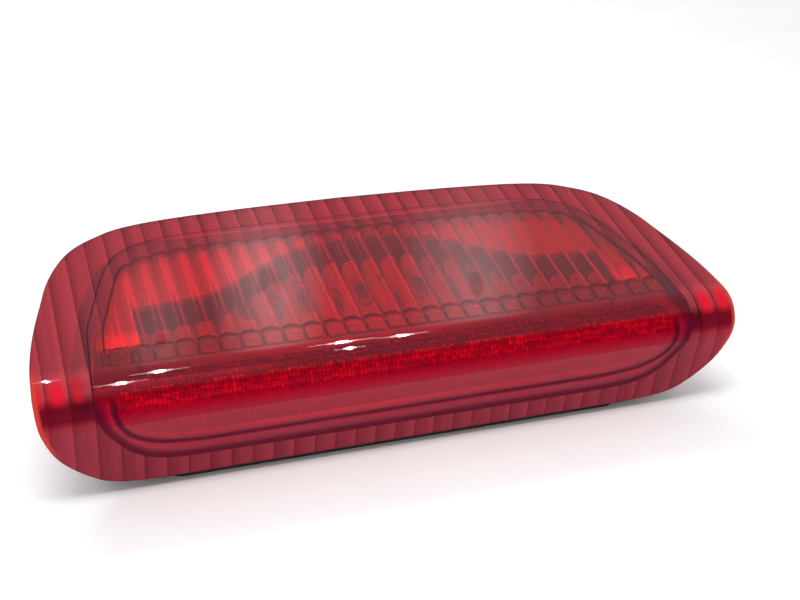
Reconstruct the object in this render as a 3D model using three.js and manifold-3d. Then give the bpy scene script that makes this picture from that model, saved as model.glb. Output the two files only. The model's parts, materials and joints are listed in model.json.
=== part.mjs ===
// High-level brake lamp: a red wedge lens wrapped over a black housing, lit from behind by five
// wedge-base bulbs on a carrier that two swing latches hold against the housing's rear wall.
// Millimetres, +Z up, +X along the lamp, -Y out of the lit lower face. The lamp stands on its base.

import * as THREE from "three";
import { mergeVertices } from "three/addons/utils/BufferGeometryUtils.js";
import Module from "manifold-3d";

const wasm = await Module();
wasm.setup();

// ---------- driving dimensions ----------

const GAP = 0.35; // clearance between touching pieces

const LENS_HALF = 165; // half the lamp's length
const LENS_WALL = 3;
const NOSE_RADIUS = 18;
const UPPER_RUN = 132.6; // sharp nose corner to the lens's rear edge
const LOWER_RUN = 50.6; // sharp nose corner to the lens's lower edge
const UPPER_RISE = THREE.MathUtils.degToRad(14.8); // the upper face climbs towards the rear
const LOWER_LEAN = THREE.MathUtils.degToRad(16.4); // the lower face leans out towards the nose
const LENS_FOOT = 3.6; // height of the lens's lower edge above the base

const LENS_CORNER_WIDE = 46; // the lens's elliptical lower corners, seen from the front
const LENS_CORNER_TALL = 40;
const SIDE_RUN = 25; // the lens's sides run straight back to here, then taper
// Control points of the wide rear corner: distance in from the lens's end, and upper-face run.
const REAR_CORNER = [[5, 52], [14, 101], [26.5, 124.5], [75, 129]];
const REAR_BOW_RUN = 136.2; // control point of the bowed rear edge, on the middle line

const GASKET_HEIGHT = 1.8;
const GASKET_OUTER = [111, 5, 88, 8]; // half width, front, rear, corner radius
const GASKET_INNER = [101, 14, 78, 4];

const HOUSING_HALF = 147;
const HOUSING_REAR_INSET = 6; // how far the housing's plan stays inside the lens's rear edge
const HOUSING_WALL = 2.6;
const HOUSING_FLOOR = GASKET_HEIGHT + GAP;
const HOUSING_SETBACK = 0.15; // of the housing's front below the lens, behind the lens's wall
const HOUSING_HOLLOW = { front: 6.6, lip: 12 }; // where the hollow starts, and its front lip's top
const REAR_Y = 96; // outer face of the housing's rear wall
const FOOT_CORNER_WIDE = 34; // the housing's lower corners, seen from the front
const FOOT_CORNER_TALL = 30;
const HOLLOW_CORNER_TRIM = 2;
const REAR_CORNER_LIFT = 9; // the housing's side profile runs on past the rear wall by this

const VENT_X = 0;
const VENT_Z = 12;
const VENT_RADIUS = 3;
const VENT_CAP_RADIUS = 5;

const MOUNT_X = 88; // screw inserts in the base
const MOUNT_Y = 48;
const PAD_RADIUS = 8;
const PAD_HEIGHT = 9;
const INSERT_RADIUS = 4;
const INSERT_LENGTH = 6;
const INSERT_RECESS = 0.2;
const INSERT_BORE = 2.1;

const REFLECTOR_INSET = HOUSING_WALL + 2.5;
const REFLECTOR_WALL = 2;
const REFLECTOR_FLOOR = 9.5;
const REFLECTOR_TOP = 58.5;
const REFLECTOR_DEPTH = 11; // under the lens's outer surface
const REFLECTOR_REAR = REAR_Y - 10;
const REFLECTOR_LIP = 4;
const REFLECTOR_FRONT = 14;
const SCREW_X = 104; // reflector screws
const SCREW_Y = 40;
const SCREW_RADIUS = 1.4;
const SCREW_HEAD_RADIUS = 3.2;
const SCREW_HEAD_TALL = 2;
const SCREW_BOSS_RADIUS = 4;

const BEZEL_DEPTH = 5.5; // under the lens's outer surface
const BEZEL_WALL = 2;
const BEZEL_INSET = 27;
const BEZEL_RUNS = [40, 109]; // from and to, along the upper face
const ARCH_SHOULDER_RUN = 66; // the bezel's arch: level shoulders, then a bow
const ARCH_CROWN_RUN = 104.5;
const ARCH_HALF = 116;
const ARCH_BOW_HALF = 84;
const SHROUD_WALL = 2;
const SHROUD_TALL = 10.5;
const SHROUD_RUNS = [44, 118];

const OPTIC_DEPTHS = [5.5, 8]; // prism sheet, under the lens's outer surface
const OPTIC_HALF = 134;
const OPTIC_RUNS = [29.5, 34.7]; // down the lower face, and along the upper one
const OPTIC_FOOT = 24;
const OPTIC_CORNER_TALL = 18;

const BULB_COUNT = 5;
const BULB_PITCH = 32;
const BULB_Z = 43;
const BULB_RADIUS = 5;
const BULB_WALL = 0.8;
const BULB_BODY = 20; // straight part of the glass
const BULB_DOME = 6;
const LEAD_REACH = 2; // lead wires, from the bulb's middle
const LEAD_LENGTH = 17;
const WIRE_RADIUS = 0.35;
const SOCKET_RADIUS = 8;
const SOCKET_MOUTH = REAR_Y - 15;
const SOCKET_FLOOR = REAR_Y - 1;

const CARRIER_HALF = 86;
const CARRIER_TALL = 46; // height of the carrier's flange
const CARRIER_CORNER = 6;
const WINDOW_HALF = 78; // opening in the rear wall
const WINDOW_TALL = 34;
const SPIGOT_PLAY = 1.2; // between the carrier's spigot and the opening
const SPIGOT_FACE = REAR_Y - 3.5;
const FLANGE_WALL = 3;
const SEAL_HEIGHT = 2.2;
const SEAL_OUTER = 6; // seal's edges, outside the opening
const SEAL_INNER = 1.5;
const FLANGE_Y = REAR_Y + SEAL_HEIGHT + 2 * GAP;

const STRIP_NEAR = 10; // contact strips, from the bulbs' middle line
const STRIP_FAR = 14;
const STRIP_WALL = 0.8;
const STRIP_INSET = 5;
const FINGER_HALF = 2.5;

const SHELL_HALF = 11; // connector shell, outside and inside
const SHELL_HALF_TALL = 10;
const SHELL_REAR = 114;
const CAVITY_HALF = 8.6;
const CAVITY_HALF_TALL = 7.6;
const SHELL_FLOOR = 2;
const TERMINAL_X = 4;
const TERMINAL_WALL = 0.8;
const TERMINAL_TALL = 6;
const TERMINAL_LENGTH = 4.6;

const LATCH_X = 95; // latch pivot, from the lamp's middle
const LATCH_Y = REAR_Y + 5;
const LATCH_TALL = 15;
const LATCH_LOW = BULB_Z - LATCH_TALL / 2;
const LATCH_HIGH = BULB_Z + LATCH_TALL / 2;
const LATCH_BARREL = 4;
const LATCH_REACH = 15;
const LATCH_WALL = 2.8;
const THUMB_WALL = 2;
const THUMB_RISE = 7.5;
const LATCH_PIN_RADIUS = 1.5;
const PIN_HEAD_RADIUS = 3;
const PIN_HEAD_TALL = 1.4;
const PIN_FOOT = 2; // pin's end, below the lower ear
const EAR_WALL = 3;
const EAR_HALF = 4.5;

// ---------- materials ----------

const finish = (color, roughness, metalness = 0, opacity = 1) =>
  new THREE.MeshStandardMaterial({
    color,
    roughness,
    metalness,
    opacity,
    transparent: opacity < 1,
  });

const redLens = finish(0xb01020, 0.08, 0, 0.7);
const redOptic = finish(0xd02030, 0.15, 0, 0.7);
const mirrorFilm = finish(0xd8d8da, 0.12, 0.9);
const blackPlastic = finish(0x141416, 0.55);
const greyPlastic = finish(0x3a3a3e, 0.5);
const rubber = finish(0x1c1c1c, 0.9);
const glass = finish(0xf0f4f6, 0.03, 0, 0.35);
const tungsten = finish(0x77777a, 0.4, 0.9);
const brass = finish(0xb8923c, 0.35, 0.9);
const steel = finish(0xb4b6b8, 0.35, 0.95);

// ---------- solid helpers ----------

const PROFILE_TO_X = new THREE.Matrix4().makeBasis(
  new THREE.Vector3(0, 1, 0),
  new THREE.Vector3(0, 0, 1),
  new THREE.Vector3(1, 0, 0),
);
const FRONT_TO_Y = new THREE.Matrix4().makeBasis(
  new THREE.Vector3(1, 0, 0),
  new THREE.Vector3(0, 0, 1),
  new THREE.Vector3(0, -1, 0),
);

function solid(geometry) {
  const bare = geometry.clone();
  bare.deleteAttribute("normal");
  bare.deleteAttribute("uv");
  const merged = mergeVertices(bare, 1e-4);
  return new wasm.Manifold(
    new wasm.Mesh({
      numProp: 3,
      vertProperties: new Float32Array(merged.attributes.position.array),
      triVerts: new Uint32Array(merged.index.array),
    }),
  );
}

function toGeometry(body) {
  const mesh = body.getMesh();
  const geometry = new THREE.BufferGeometry();
  geometry.setAttribute("position", new THREE.BufferAttribute(mesh.vertProperties, 3));
  geometry.setIndex(new THREE.BufferAttribute(mesh.triVerts, 1));
  geometry.computeVertexNormals();
  return geometry;
}

const join = (...bodies) => bodies.reduce((all, body) => all.add(body));
const cut = (body, ...tools) => tools.reduce((rest, tool) => rest.subtract(tool), body);
const common = (...bodies) => bodies.reduce((all, body) => all.intersect(body));

function extruded(shape, depth, curveSegments = 12) {
  return new THREE.ExtrudeGeometry(shape, { depth, bevelEnabled: false, curveSegments });
}

// A (y, z) profile run along X.
function alongX(shape, fromX, toX, curveSegments) {
  const geometry = extruded(shape, toX - fromX, curveSegments).applyMatrix4(PROFILE_TO_X);
  return solid(geometry.translate(fromX, 0, 0));
}

// An (x, z) outline run along Y.
function alongY(shape, fromY, toY, curveSegments) {
  const geometry = extruded(shape, toY - fromY, curveSegments).applyMatrix4(FRONT_TO_Y);
  return solid(geometry.translate(0, toY, 0));
}

// An (x, y) outline run along Z.
function alongZ(shape, fromZ, toZ, curveSegments) {
  return solid(extruded(shape, toZ - fromZ, curveSegments).translate(0, 0, fromZ));
}

function block(fromX, toX, fromY, toY, fromZ, toZ) {
  const geometry = new THREE.BoxGeometry(toX - fromX, toY - fromY, toZ - fromZ);
  return solid(geometry.translate((fromX + toX) / 2, (fromY + toY) / 2, (fromZ + toZ) / 2));
}

function rodY(x, z, radius, fromY, toY, sides = 20) {
  const geometry = new THREE.CylinderGeometry(radius, radius, toY - fromY, sides);
  return solid(geometry.translate(x, (fromY + toY) / 2, z));
}

function rodZ(x, y, radius, fromZ, toZ, sides = 20) {
  const geometry = new THREE.CylinderGeometry(radius, radius, toZ - fromZ, sides);
  return solid(geometry.rotateX(Math.PI / 2).translate(x, y, (fromZ + toZ) / 2));
}

// A turned piece about an axis along Y: profile points are [radius, y].
function turnedY(profile, x, z, sides = 20) {
  const points = profile.map(([radius, y]) => new THREE.Vector2(radius, y));
  return solid(new THREE.LatheGeometry(points, sides).translate(x, 0, z));
}

function roundedRect(halfWide, low, high, radius) {
  const shape = new THREE.Shape();
  shape.moveTo(halfWide, low + radius);
  shape.absarc(halfWide - radius, high - radius, radius, 0, Math.PI / 2);
  shape.absarc(-halfWide + radius, high - radius, radius, Math.PI / 2, Math.PI);
  shape.absarc(-halfWide + radius, low + radius, radius, Math.PI, 1.5 * Math.PI);
  shape.absarc(halfWide - radius, low + radius, radius, 1.5 * Math.PI, 2 * Math.PI);
  return shape;
}

// ---------- the lens's wedge section ----------

const upperDir = new THREE.Vector2(Math.cos(UPPER_RISE), Math.sin(UPPER_RISE));
const lowerDir = new THREE.Vector2(Math.sin(LOWER_LEAN), -Math.cos(LOWER_LEAN));
const noseCorner = lowerDir.clone().multiplyScalar(-LOWER_RUN).add(new THREE.Vector2(0, LENS_FOOT));
const noseAngle = Math.acos(upperDir.dot(lowerDir));
const noseTangent = NOSE_RADIUS / Math.tan(noseAngle / 2);
const noseCentre = upperDir
  .clone()
  .add(lowerDir)
  .normalize()
  .multiplyScalar(NOSE_RADIUS / Math.sin(noseAngle / 2))
  .add(noseCorner);
const upperInward = new THREE.Vector2(upperDir.y, -upperDir.x);
const lowerInward = new THREE.Vector2(-lowerDir.y, lowerDir.x);

// Points on the section at a depth under the outer surface, from `lower` mm down the lower face,
// round the nose, to `upper` mm along the upper face, both measured from the sharp nose corner.
function sectionLine(depth, lower, upper, arcSteps = 8) {
  const at = (direction, run, inward) =>
    direction.clone().multiplyScalar(run).add(noseCorner).addScaledVector(inward, depth);
  const radius = NOSE_RADIUS - depth;
  const start = Math.atan2(-lowerInward.y, -lowerInward.x) + 2 * Math.PI;
  const end = Math.atan2(-upperInward.y, -upperInward.x);
  const line = [at(lowerDir, lower, lowerInward)];
  for (let i = 0; i <= arcSteps; i++) {
    const angle = start + ((end - start) * i) / arcSteps;
    const spoke = new THREE.Vector2(Math.cos(angle), Math.sin(angle));
    line.push(spoke.multiplyScalar(radius).add(noseCentre));
  }
  line.push(at(upperDir, upper, upperInward));
  return line;
}

// A sheet between two depths under the lens's outer surface.
function wedgeSheet(outerDepth, innerDepth, lower, upper) {
  const outer = sectionLine(outerDepth, lower, upper);
  const inner = sectionLine(innerDepth, lower, upper).reverse();
  return new THREE.Shape([...outer, ...inner]);
}

const upperPoint = (run, depth = 0) =>
  upperDir.clone().multiplyScalar(run).add(noseCorner).addScaledVector(upperInward, depth);

// The lens seen from above: straight past the nose, tapering, then a wide corner into a bowed
// rear edge. Inset moves the sides and the rear edge inwards.
function planOutline(sideInset = 0, rearInset = 0) {
  const half = LENS_HALF - sideInset;
  const back = (run) => upperPoint(run).x - rearInset;
  const [start, ...rest] = REAR_CORNER;
  const corner = [
    [half - start[0], upperPoint(start[1]).x],
    ...rest.map(([side, run]) => [half - side, back(run)]),
  ];
  const front = -60;
  const shape = new THREE.Shape();
  shape.moveTo(half, front);
  shape.lineTo(half, upperPoint(SIDE_RUN).x);
  shape.lineTo(...corner[0]);
  shape.bezierCurveTo(...corner[1], ...corner[2], ...corner[3]);
  shape.quadraticCurveTo(0, back(REAR_BOW_RUN), -corner[3][0], corner[3][1]);
  shape.bezierCurveTo(
    -corner[2][0], corner[2][1],
    -corner[1][0], corner[1][1],
    -corner[0][0], corner[0][1],
  );
  shape.lineTo(-half, upperPoint(SIDE_RUN).x);
  shape.lineTo(-half, front);
  return shape;
}

// The lens seen from the front: elliptical lower corners, straight above.
function frontOutline(half, foot, cornerWide, cornerTall) {
  const top = 200;
  const shape = new THREE.Shape();
  shape.moveTo(half, top);
  shape.lineTo(-half, top);
  shape.absellipse(
    -half + cornerWide, foot + cornerTall, cornerWide, cornerTall, Math.PI, 1.5 * Math.PI,
  );
  shape.absellipse(
    half - cornerWide, foot + cornerTall, cornerWide, cornerTall, 1.5 * Math.PI, 2 * Math.PI,
  );
  return shape;
}

// ---------- casing ----------

function outerLens() {
  const past = LENS_HALF + 5;
  return common(
    alongX(wedgeSheet(0, LENS_WALL, LOWER_RUN, UPPER_RUN + 5), -past, past),
    alongY(frontOutline(LENS_HALF, LENS_FOOT, LENS_CORNER_WIDE, LENS_CORNER_TALL), -60, 200),
    alongZ(planOutline(), 0, 200),
  );
}

const noseToRear = (REAR_Y - noseCorner.x) / upperDir.x; // upper-face run that ends over REAR_Y

// Everything from a floor up to a depth under the lens, inset from the housing's own outline.
function underLens(depth, inset, floor, rear) {
  const roof = sectionLine(depth, LOWER_RUN, noseToRear + 5).reverse();
  const front = depth + HOUSING_SETBACK;
  const base = [new THREE.Vector2(front, 0), new THREE.Vector2(rear + REAR_CORNER_LIFT, 0)];
  const half = HOUSING_HALF - inset;
  return common(
    alongX(new THREE.Shape([...roof, ...base]), -half, half),
    alongY(frontOutline(half, floor, FOOT_CORNER_WIDE, FOOT_CORNER_TALL), -60, rear),
    alongZ(planOutline(LENS_HALF - half, HOUSING_REAR_INSET + inset), floor, 200),
  );
}

// The hollow of a tray: open upwards and, above its front lip, forwards.
function trayHollow(inset, front, lipTop, floor, rear) {
  const half = HOUSING_HALF - inset;
  const cornerWide = FOOT_CORNER_WIDE - HOLLOW_CORNER_TRIM;
  const cornerTall = FOOT_CORNER_TALL - HOLLOW_CORNER_TRIM;
  const side = [[front, floor], [rear, floor], [rear, 200], [-60, 200], [-60, lipTop], [front, lipTop]];
  return common(
    alongX(new THREE.Shape(side.map(([y, z]) => new THREE.Vector2(y, z))), -half, half),
    alongY(frontOutline(half, floor, cornerWide, cornerTall), -60, 200),
    alongZ(planOutline(LENS_HALF - half, HOUSING_REAR_INSET + inset), 0, 200),
  );
}

function housing() {
  const floor = HOUSING_FLOOR + HOUSING_WALL;
  const { front, lip } = HOUSING_HOLLOW;
  const hollow = trayHollow(HOUSING_WALL, front, lip, floor, REAR_Y - HOUSING_WALL);
  let body = cut(underLens(LENS_WALL + GAP, 0, HOUSING_FLOOR, REAR_Y), hollow);
  body = cut(body, windowBlock(0, REAR_Y - 5, REAR_Y + 2));
  const boreTop = INSERT_LENGTH + INSERT_RECESS + GAP;
  for (const side of [-1, 1]) {
    const pad = rodZ(side * MOUNT_X, MOUNT_Y, PAD_RADIUS, 0, PAD_HEIGHT, 32);
    const bore = rodZ(side * MOUNT_X, MOUNT_Y, INSERT_RADIUS + GAP, -1, boreTop, 24);
    const bossTop = REFLECTOR_FLOOR - GAP;
    const screwBoss = rodZ(side * SCREW_X, SCREW_Y, SCREW_BOSS_RADIUS, floor - 1, bossTop, 16);
    const screwBore = rodZ(side * SCREW_X, SCREW_Y, SCREW_RADIUS + GAP, floor, bossTop + 1, 12);
    body = cut(join(body, pad, screwBoss, ...latchEars(side)), bore, screwBore, pinBore(side));
  }
  return cut(body, rodY(VENT_X, VENT_Z, VENT_RADIUS, REAR_Y - 5, REAR_Y + 5, 16));
}

const windowBlock = (grow, fromY, toY) =>
  block(
    -WINDOW_HALF - grow, WINDOW_HALF + grow, fromY, toY,
    BULB_Z - WINDOW_TALL / 2 - grow, BULB_Z + WINDOW_TALL / 2 + grow,
  );

function ventCap() {
  const back = REAR_Y + GAP;
  const rim = VENT_CAP_RADIUS;
  const crown = back + 2.6;
  const profile = [[0, back], [rim, back], [rim, crown - 1], [rim - 1.2, crown], [0, crown]];
  return turnedY(profile, VENT_X, VENT_Z, 24);
}

function baseGasket() {
  const shape = roundedRect(...GASKET_OUTER);
  shape.holes.push(roundedRect(...GASKET_INNER));
  return alongZ(shape, 0, GASKET_HEIGHT, 6);
}

function mountInsert(side) {
  const top = INSERT_RECESS + INSERT_LENGTH;
  const sleeve = rodZ(side * MOUNT_X, MOUNT_Y, INSERT_RADIUS, INSERT_RECESS, top, 24);
  return cut(sleeve, rodZ(side * MOUNT_X, MOUNT_Y, INSERT_BORE, -1, top + 1, 16));
}

// ---------- optics behind the lens ----------

// A tray with a mirror finish that stands inside the housing, open towards the lens.
function reflector() {
  const inset = REFLECTOR_INSET + REFLECTOR_WALL;
  const floor = REFLECTOR_FLOOR + REFLECTOR_WALL;
  const outer = underLens(REFLECTOR_DEPTH, REFLECTOR_INSET, REFLECTOR_FLOOR, REFLECTOR_REAR);
  const low = cut(outer, block(-200, 200, -60, 200, REFLECTOR_TOP, 200));
  const back = REFLECTOR_REAR - REFLECTOR_WALL;
  const hollow = trayHollow(inset, REFLECTOR_FRONT, floor + REFLECTOR_LIP, floor, back);
  const holes = bulbPlaces.map((x) => rodY(x, BULB_Z, SOCKET_RADIUS + 2 * GAP, back - 5, back + 5, 24));
  const screws = [-1, 1].map((side) =>
    rodZ(side * SCREW_X, SCREW_Y, SCREW_RADIUS + GAP, 5, 20, 12),
  );
  return cut(low, hollow, ...holes, ...screws);
}

function reflectorScrew(side) {
  const top = REFLECTOR_FLOOR + REFLECTOR_WALL + GAP;
  const shank = rodZ(side * SCREW_X, SCREW_Y, SCREW_RADIUS, HOUSING_FLOOR + 3, top + 1, 12);
  return join(shank, rodZ(side * SCREW_X, SCREW_Y, SCREW_HEAD_RADIUS, top, top + SCREW_HEAD_TALL, 16));
}

// The arch cut into the bezel, seen from above: a wide bow with short level shoulders.
function archOutline(grow) {
  const shoulder = upperPoint(ARCH_SHOULDER_RUN).x + grow;
  const crown = upperPoint(ARCH_CROWN_RUN).x + grow;
  const half = ARCH_HALF + grow;
  const bow = ARCH_BOW_HALF;
  const shape = new THREE.Shape();
  shape.moveTo(half, -60);
  shape.lineTo(half, shoulder);
  shape.lineTo(bow, shoulder + 3);
  shape.bezierCurveTo(bow * 0.67, shoulder + 10, bow * 0.52, crown, 0, crown);
  shape.bezierCurveTo(-bow * 0.52, crown, -bow * 0.67, shoulder + 10, -bow, shoulder + 3);
  shape.lineTo(-half, shoulder);
  shape.lineTo(-half, -60);
  return shape;
}

// A strip of the upper face between two runs, at two depths under the lens's outer surface.
const upperBand = (outer, inner, [from, to]) =>
  common(
    alongX(wedgeSheet(outer, inner, 20, to), -200, 200),
    block(-200, 200, upperPoint(from).x, 200, 0, 200),
  );

// A bright shelf under the upper face, open in an arch over the bulbs.
function bezel() {
  return cut(
    common(
      upperBand(BEZEL_DEPTH, BEZEL_DEPTH + BEZEL_WALL, BEZEL_RUNS),
      alongZ(planOutline(BEZEL_INSET, HOUSING_REAR_INSET + HOUSING_WALL + 1), 0, 200),
    ),
    alongZ(archOutline(0), 0, 200, 16),
  );
}

// A dark wall that hangs from the edge of the bezel's arch.
function bulbShroud() {
  const top = BEZEL_DEPTH + BEZEL_WALL + GAP;
  const ring = cut(
    alongZ(archOutline(SHROUD_WALL), 0, 200, 16),
    alongZ(archOutline(0), -1, 201, 16),
  );
  return common(ring, upperBand(top, top + SHROUD_TALL, SHROUD_RUNS));
}

// Prism sheet behind the lower face, carried over the nose.
function innerOptic() {
  return common(
    alongX(wedgeSheet(...OPTIC_DEPTHS, ...OPTIC_RUNS), -OPTIC_HALF, OPTIC_HALF),
    alongY(frontOutline(OPTIC_HALF, OPTIC_FOOT, OPTIC_FOOT, OPTIC_CORNER_TALL), -60, 200),
  );
}

// ---------- bulbs and their carrier ----------

const bulbPlaces = Array.from(
  { length: BULB_COUNT },
  (_, i) => (i - (BULB_COUNT - 1) / 2) * BULB_PITCH,
);

function bulbCarrier() {
  const low = BULB_Z - CARRIER_TALL / 2;
  const flange = alongY(
    roundedRect(CARRIER_HALF, low, low + CARRIER_TALL, CARRIER_CORNER),
    FLANGE_Y, FLANGE_Y + FLANGE_WALL, 4,
  );
  const sockets = bulbPlaces.map((x) =>
    rodY(x, BULB_Z, SOCKET_RADIUS, SOCKET_MOUTH, SPIGOT_FACE + 1, 24),
  );
  const bores = bulbPlaces.map((x) =>
    rodY(x, BULB_Z, BULB_RADIUS + GAP, SOCKET_MOUTH - 1, SOCKET_FLOOR, 20),
  );
  const spigot = windowBlock(-SPIGOT_PLAY, SPIGOT_FACE, FLANGE_Y + 1);
  return cut(join(flange, spigot, ...sockets), ...bores);
}

function carrierSeal() {
  const ring = (grow, corner) => {
    const tall = WINDOW_TALL / 2 + grow;
    return roundedRect(WINDOW_HALF + grow, BULB_Z - tall, BULB_Z + tall, corner);
  };
  const shape = ring(SEAL_OUTER, CARRIER_CORNER);
  shape.holes.push(ring(SEAL_INNER, CARRIER_CORNER - 2));
  return alongY(shape, REAR_Y + GAP, REAR_Y + GAP + SEAL_HEIGHT, 4);
}

// Brass strip along the sockets with a finger to each one; side +1 runs above, -1 below.
function contactStrip(side) {
  const half = WINDOW_HALF - STRIP_INSET;
  const near = BULB_Z + side * STRIP_NEAR;
  const far = BULB_Z + side * STRIP_FAR;
  const tip = BULB_Z + side * (SOCKET_RADIUS + GAP);
  const face = SPIGOT_FACE - GAP;
  const slab = (fromX, toX, a, b) =>
    block(fromX, toX, face - STRIP_WALL, face, Math.min(a, b), Math.max(a, b));
  const fingers = bulbPlaces.map((x) =>
    slab(x - FINGER_HALF, x + FINGER_HALF, near + side * 0.5, tip),
  );
  return join(slab(-half, half, near, far), ...fingers);
}

function bulbGlass(x) {
  const base = SOCKET_FLOOR - GAP;
  const shoulder = base - BULB_BODY;
  const dome = (radius, tip, steps = 4) =>
    Array.from({ length: steps + 1 }, (_, i) => {
      const angle = (i / steps) * (Math.PI / 2);
      return [radius * Math.sin(angle), tip + (shoulder - tip) * (1 - Math.cos(angle))];
    });
  const tip = shoulder - BULB_DOME;
  const bore = BULB_RADIUS - BULB_WALL;
  const outer = dome(BULB_RADIUS, tip);
  const inner = dome(bore, tip + BULB_WALL).reverse();
  const skirt = [[BULB_RADIUS, base], [bore, base]];
  return turnedY([...outer, ...skirt, ...inner], x, BULB_Z, 20);
}

// Two lead wires joined by the filament at their tips, as one bent wire.
function bulbFilament(x) {
  const reach = LEAD_REACH;
  const root = SOCKET_FLOOR - 1;
  const tip = root - LEAD_LENGTH;
  const points = [
    [-reach, root],
    [-reach, (root + tip) / 2],
    [-reach, tip + 1],
    [-reach * 0.6, tip],
    [reach * 0.6, tip],
    [reach, tip + 1],
    [reach, (root + tip) / 2],
    [reach, root],
  ].map(([dx, y]) => new THREE.Vector3(x + dx, y, BULB_Z));
  const wire = new THREE.Shape().absarc(0, 0, WIRE_RADIUS, 0, 2 * Math.PI);
  const extrudePath = new THREE.CatmullRomCurve3(points, false, "centripetal");
  return solid(new THREE.ExtrudeGeometry(wire, { steps: 24, curveSegments: 3, extrudePath }));
}

// ---------- connector ----------

function connectorShell() {
  const base = FLANGE_Y + FLANGE_WALL + GAP;
  const outline = roundedRect(SHELL_HALF, BULB_Z - SHELL_HALF_TALL, BULB_Z + SHELL_HALF_TALL, 2.5);
  const shell = alongY(outline, base, SHELL_REAR, 4);
  const cavity = block(
    -CAVITY_HALF, CAVITY_HALF, base + SHELL_FLOOR, SHELL_REAR + 1,
    BULB_Z - CAVITY_HALF_TALL, BULB_Z + CAVITY_HALF_TALL,
  );
  return cut(shell, cavity);
}

function terminal(side) {
  const root = FLANGE_Y + FLANGE_WALL + SHELL_FLOOR + 2 * GAP;
  const middle = side * TERMINAL_X;
  return block(
    middle - TERMINAL_WALL / 2, middle + TERMINAL_WALL / 2, root, root + TERMINAL_LENGTH,
    BULB_Z - TERMINAL_TALL / 2, BULB_Z + TERMINAL_TALL / 2,
  );
}

// ---------- latches ----------

const pinBore = (side, reach = 30) =>
  rodZ(side * LATCH_X, LATCH_Y, LATCH_PIN_RADIUS + GAP, BULB_Z - reach, BULB_Z + reach, 16);

function latchEars(side) {
  const ear = (low) =>
    block(
      side * LATCH_X - EAR_HALF, side * LATCH_X + EAR_HALF,
      REAR_Y - 1, LATCH_Y + EAR_HALF, low, low + EAR_WALL,
    );
  return [ear(LATCH_LOW - GAP - EAR_WALL), ear(LATCH_HIGH + GAP)];
}

function latchPin(side) {
  const top = LATCH_HIGH + EAR_WALL + 2 * GAP;
  const foot = LATCH_LOW - EAR_WALL - PIN_FOOT;
  const rod = rodZ(side * LATCH_X, LATCH_Y, LATCH_PIN_RADIUS, foot, top + 1, 16);
  return join(rod, rodZ(side * LATCH_X, LATCH_Y, PIN_HEAD_RADIUS, top, top + PIN_HEAD_TALL, 16));
}

// A lever pivoting on a vertical pin; its arm bears on the rear of the carrier's flange.
function latchLever(side) {
  const armFace = FLANGE_Y + FLANGE_WALL + GAP;
  const tip = side * (LATCH_X - LATCH_REACH);
  const root = side * LATCH_X;
  const slab = (a, b, fromY, toY) =>
    block(Math.min(a, b), Math.max(a, b), fromY, toY, LATCH_LOW, LATCH_HIGH);
  const barrel = rodZ(root, LATCH_Y, LATCH_BARREL, LATCH_LOW, LATCH_HIGH, 24);
  const arm = slab(tip, root, armFace, armFace + LATCH_WALL);
  const thumb = slab(tip, tip + side * THUMB_WALL, armFace + 1, armFace + THUMB_RISE);
  return cut(join(barrel, arm, thumb), pinBore(side));
}

// ---------- the assembly ----------

const lamp = new THREE.Group();

function place(name, body, material) {
  const mesh = new THREE.Mesh(toGeometry(body), material);
  mesh.name = name;
  lamp.add(mesh);
}

place("outer_lens", outerLens(), redLens);
place("inner_optic", innerOptic(), redOptic);
place("bezel", bezel(), mirrorFilm);
place("bulb_shroud", bulbShroud(), blackPlastic);
place("reflector", reflector(), mirrorFilm);
place("housing", housing(), blackPlastic);
place("base_gasket", baseGasket(), rubber);
place("vent_cap", ventCap(), greyPlastic);
place("bulb_carrier", bulbCarrier(), greyPlastic);
place("carrier_seal", carrierSeal(), rubber);
place("contact_strip_feed", contactStrip(1), brass);
place("contact_strip_ground", contactStrip(-1), brass);
place("connector_shell", connectorShell(), blackPlastic);
place("terminal_feed", terminal(1), brass);
place("terminal_ground", terminal(-1), brass);

bulbPlaces.forEach((x, i) => {
  place(`bulb_glass_${i + 1}`, bulbGlass(x), glass);
  place(`bulb_filament_${i + 1}`, bulbFilament(x), tungsten);
});

for (const [side, word] of [[-1, "left"], [1, "right"]]) {
  place(`mount_insert_${word}`, mountInsert(side), brass);
  place(`reflector_screw_${word}`, reflectorScrew(side), steel);
  place(`latch_pin_${word}`, latchPin(side), steel);
  place(`latch_${word}`, latchLever(side), greyPlastic);
}

// The origin is the middle of the lamp's footprint, on the base.
const bounds = new THREE.Box3().setFromObject(lamp);
lamp.position.y = -(bounds.min.y + bounds.max.y) / 2;

export default lamp;
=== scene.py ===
import json
import math

import bpy
import numpy as np
from mathutils import Euler, Matrix, Vector


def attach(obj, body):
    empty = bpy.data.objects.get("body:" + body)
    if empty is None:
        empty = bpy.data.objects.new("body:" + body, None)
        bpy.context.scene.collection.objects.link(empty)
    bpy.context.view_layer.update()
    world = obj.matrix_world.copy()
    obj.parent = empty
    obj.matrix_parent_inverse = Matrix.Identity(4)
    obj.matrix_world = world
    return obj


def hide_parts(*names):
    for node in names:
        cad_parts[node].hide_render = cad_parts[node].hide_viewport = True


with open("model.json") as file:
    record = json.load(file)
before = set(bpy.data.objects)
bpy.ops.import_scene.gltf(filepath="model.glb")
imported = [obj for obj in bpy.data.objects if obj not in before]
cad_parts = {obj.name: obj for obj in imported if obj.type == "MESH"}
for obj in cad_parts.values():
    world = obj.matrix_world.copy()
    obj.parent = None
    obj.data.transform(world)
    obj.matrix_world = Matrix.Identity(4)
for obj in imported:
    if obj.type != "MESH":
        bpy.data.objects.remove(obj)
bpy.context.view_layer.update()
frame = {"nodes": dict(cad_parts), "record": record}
nodes = frame["nodes"]

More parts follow.
